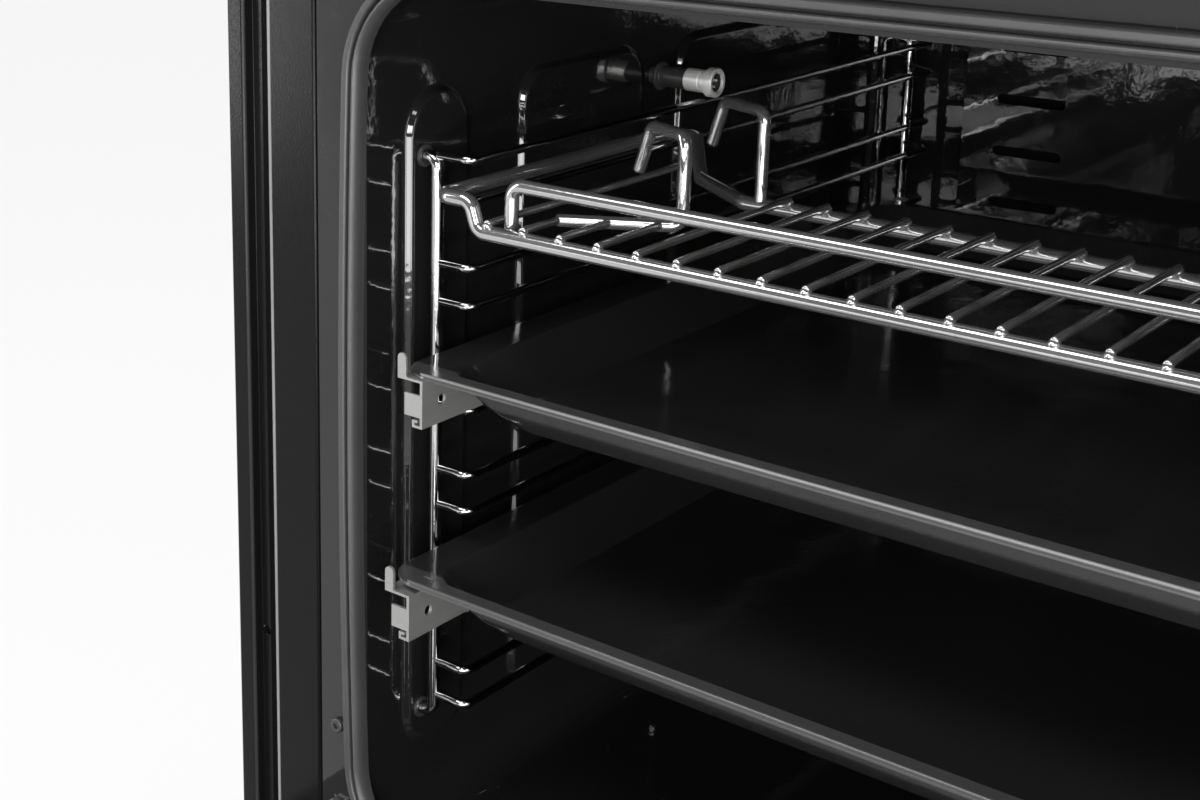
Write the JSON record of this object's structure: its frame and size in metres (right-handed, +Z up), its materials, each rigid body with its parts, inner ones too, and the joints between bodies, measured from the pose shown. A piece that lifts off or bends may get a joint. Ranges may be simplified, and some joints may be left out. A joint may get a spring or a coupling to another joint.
{
  "type": "built-in oven",
  "caption": "Built-in electric oven with drop-down door, black cavity, chromed side racks, wire rack, enamelled trays on pull-out runners, spit socket and control panel.",
  "frame": {"origin": "middle of the front frame's plane at the height of the base, on the underside of the base trim", "axes": "+X to the right seen from the front, +Y from the front to the rear, +Z up; the door opens towards -Y"},
  "size_m": [0.595, 0.963, 0.595],
  "materials": {
    "cavity_enamel": "glossy black vitreous enamel",
    "frame_paint": "satin dark grey paint",
    "galvanised": "galvanised sheet",
    "seal_rubber": "satin dark grey silicone",
    "chrome_wire": "bright chromium plate",
    "runner_steel": "satin stainless steel",
    "tray_enamel": "gloss enamel",
    "door_paint": "satin black paint",
    "door_glass": "tinted toughened glass",
    "panel_black": "gloss black",
    "knob_metal": "satin",
    "dark_plastic": "matt black",
    "circuit_board": "green solder mask",
    "insulation_wool": "mineral wool",
    "element_steel": "dark heat-tinted steel",
    "motor_steel": "plain steel",
    "screw_steel": "bright zinc plate",
    "lamp_glass": "frosted glass",
    "ceramic_block": "matt white ceramic"
  },
  "bodies": {
    "carcass": {"cavity": "cavity_enamel", "side_trim_left": "frame_paint", "side_trim_right": "frame_paint", "door_seal": "seal_rubber", "cavity_insulation": "insulation_wool", "housing_left": "galvanised", "housing_right": "galvanised", "housing_top": "galvanised", "housing_rear": "galvanised", "housing_base": "galvanised", "hinge_receivers": "galvanised", "hinge_arms": "motor_steel", "base_trim": "frame_paint", "panel_carrier": "galvanised", "control_fascia": "panel_black", "display_window": "door_glass", "control_board": "circuit_board", "rotary_switches": "dark_plastic", "grill_element": "element_steel", "bottom_element": "element_steel", "ring_element": "element_steel", "fan_cover": "cavity_enamel", "fan_motor": "motor_steel", "blower_housing": "galvanised", "blower_motor": "motor_steel", "lamp_holder": "ceramic_block", "lamp_lens": "lamp_glass", "terminal_block": "dark_plastic", "spit_motor": "dark_plastic", "ladder_left": "chrome_wire", "ladder_right": "chrome_wire", "ladder_bushes": "screw_steel", "upper_rails": "runner_steel", "lower_rails": "runner_steel", "flange_screws": "screw_steel", "housing_screws": "screw_steel"},
    "rack": {"wire_rack": "chrome_wire"},
    "upper_carriage": {"upper_slide_left": "runner_steel", "upper_slide_right": "runner_steel", "upper_tray": "tray_enamel"},
    "upper_cages": {"upper_ball_cages": "runner_steel"},
    "lower_carriage": {"lower_slide_left": "runner_steel", "lower_slide_right": "runner_steel", "lower_tray": "tray_enamel"},
    "lower_cages": {"lower_ball_cages": "runner_steel"},
    "function_knob": {"function_knob": "knob_metal"},
    "temperature_knob": {"temperature_knob": "knob_metal"},
    "timer_minus": {"timer_minus_button": "dark_plastic"},
    "timer_set": {"timer_set_button": "dark_plastic"},
    "timer_plus": {"timer_plus_button": "dark_plastic"},
    "fan": {"convection_fan": "motor_steel"},
    "blower": {"blower_wheel": "dark_plastic"},
    "spit": {"spit_socket": "runner_steel"},
    "door": {"door_outer_glass": "door_glass", "door_inner_glass": "door_glass", "door_side_profiles": "door_paint", "door_rails": "door_paint", "door_hinges": "motor_steel", "door_handle": "knob_metal", "handle_posts": "knob_metal"}
  },
  "joints": [
    {"name": "door_hinge", "type": "hinge", "parent": "carcass", "child": "door", "pos_m": [0, -0.017, 0.074], "axis": [1, 0, 0], "range_deg": [-90, 0]},
    {"name": "rack_slide", "type": "slide", "parent": "carcass", "child": "rack", "axis": [0, -1, 0], "range_m": [-0.21, 0.1]},
    {"name": "upper_runner", "type": "slide", "parent": "carcass", "child": "upper_carriage", "axis": [0, -1, 0], "range_m": [0, 0.3]},
    {"name": "upper_cage_roll", "type": "slide", "parent": "carcass", "child": "upper_cages", "axis": [0, -1, 0], "range_m": [0, 0.15]},
    {"name": "lower_runner", "type": "slide", "parent": "carcass", "child": "lower_carriage", "axis": [0, -1, 0], "range_m": [-0.008, 0.29]},
    {"name": "lower_cage_roll", "type": "slide", "parent": "carcass", "child": "lower_cages", "axis": [0, -1, 0], "range_m": [-0.004, 0.145]},
    {"name": "function_knob_turn", "type": "hinge", "parent": "carcass", "child": "function_knob", "pos_m": [-0.2, -0.03, 0.535], "axis": [0, 1, 0], "continuous": true},
    {"name": "temperature_knob_turn", "type": "hinge", "parent": "carcass", "child": "temperature_knob", "pos_m": [0.2, -0.03, 0.535], "axis": [0, 1, 0], "range_deg": [0, 280]},
    {"name": "timer_minus_press", "type": "slide", "parent": "carcass", "child": "timer_minus", "axis": [0, 1, 0], "range_m": [0, 0.0015], "stiffness_N_per_m": 400},
    {"name": "timer_set_press", "type": "slide", "parent": "carcass", "child": "timer_set", "axis": [0, 1, 0], "range_m": [0, 0.0015], "stiffness_N_per_m": 400},
    {"name": "timer_plus_press", "type": "slide", "parent": "carcass", "child": "timer_plus", "axis": [0, 1, 0], "range_m": [0, 0.0015], "stiffness_N_per_m": 400},
    {"name": "fan_spin", "type": "hinge", "parent": "carcass", "child": "fan", "pos_m": [0, 0.43, 0.267], "axis": [0, 1, 0], "continuous": true},
    {"name": "blower_spin", "type": "hinge", "parent": "carcass", "child": "blower", "pos_m": [-0.07, 0.41, 0.48], "axis": [0, 0, 1], "continuous": true},
    {"name": "spit_spin", "type": "hinge", "parent": "carcass", "child": "spit", "pos_m": [-0.22, 0.183, 0.3784], "axis": [1, 0, 0], "continuous": true}
  ],
  "couplings": [
    {"joint": "upper_cage_roll", "follows": "upper_runner", "ratio": 0.5},
    {"joint": "lower_cage_roll", "follows": "lower_runner", "ratio": 0.5}
  ]
}
